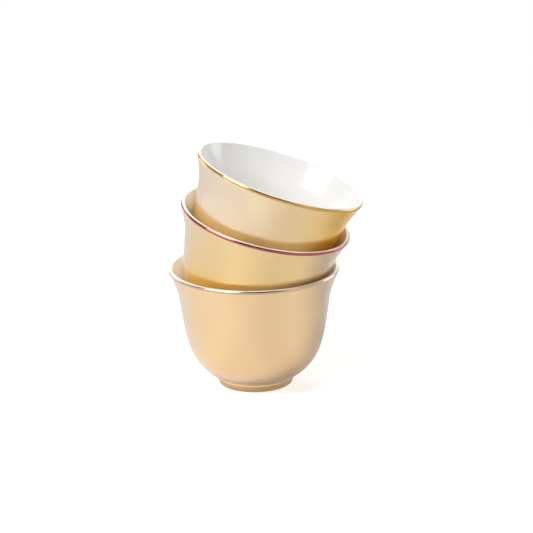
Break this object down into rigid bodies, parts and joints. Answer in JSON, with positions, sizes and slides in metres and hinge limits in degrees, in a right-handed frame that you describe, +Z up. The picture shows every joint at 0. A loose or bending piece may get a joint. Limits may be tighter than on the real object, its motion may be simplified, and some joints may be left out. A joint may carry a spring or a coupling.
{
  "type": "stacked coffee cups",
  "caption": "Small handleless porcelain coffee cups with flared lips and turned feet, satin gold outside and white inside, nested in a leaning stack.",
  "frame": {"origin": "centre of the bottom cup's foot, on the surface that the stack stands on", "axes": "+Z up along the bottom cup's axis; +X to the right of the picture, the side that the upper cups lean to; +Y away from the viewer"},
  "size_m": [0.0751, 0.0689, 0.0936],
  "materials": {
    "porcelain": "unglazed, matt",
    "white_glaze": "gloss",
    "satin_gold": "satin gold lustre over glaze",
    "bright_gold": "burnished bright gold over glaze"
  },
  "bodies": {
    "bottom_cup": {"bottom_porcelain_body": "porcelain", "bottom_liner_glaze": "white_glaze", "bottom_lip_gilding": "bright_gold", "bottom_gold_lustre": "satin_gold", "bottom_foot_well_glaze": "white_glaze"},
    "middle_cup": {"middle_porcelain_body": "porcelain", "middle_liner_glaze": "white_glaze", "middle_lip_gilding": "bright_gold", "middle_gold_lustre": "satin_gold", "middle_foot_well_glaze": "white_glaze"},
    "top_cup": {"top_porcelain_body": "porcelain", "top_liner_glaze": "white_glaze", "top_lip_gilding": "bright_gold", "top_gold_lustre": "satin_gold", "top_foot_well_glaze": "white_glaze"}
  },
  "joints": [
    {"name": "middle_cup_lift", "type": "slide", "parent": "bottom_cup", "child": "middle_cup", "axis": [0, 0, 1], "range_m": [0, 0.05]},
    {"name": "top_cup_lift", "type": "slide", "parent": "middle_cup", "child": "top_cup", "axis": [0.2288, -0.0837, 0.9699], "range_m": [0, 0.05]}
  ]
}
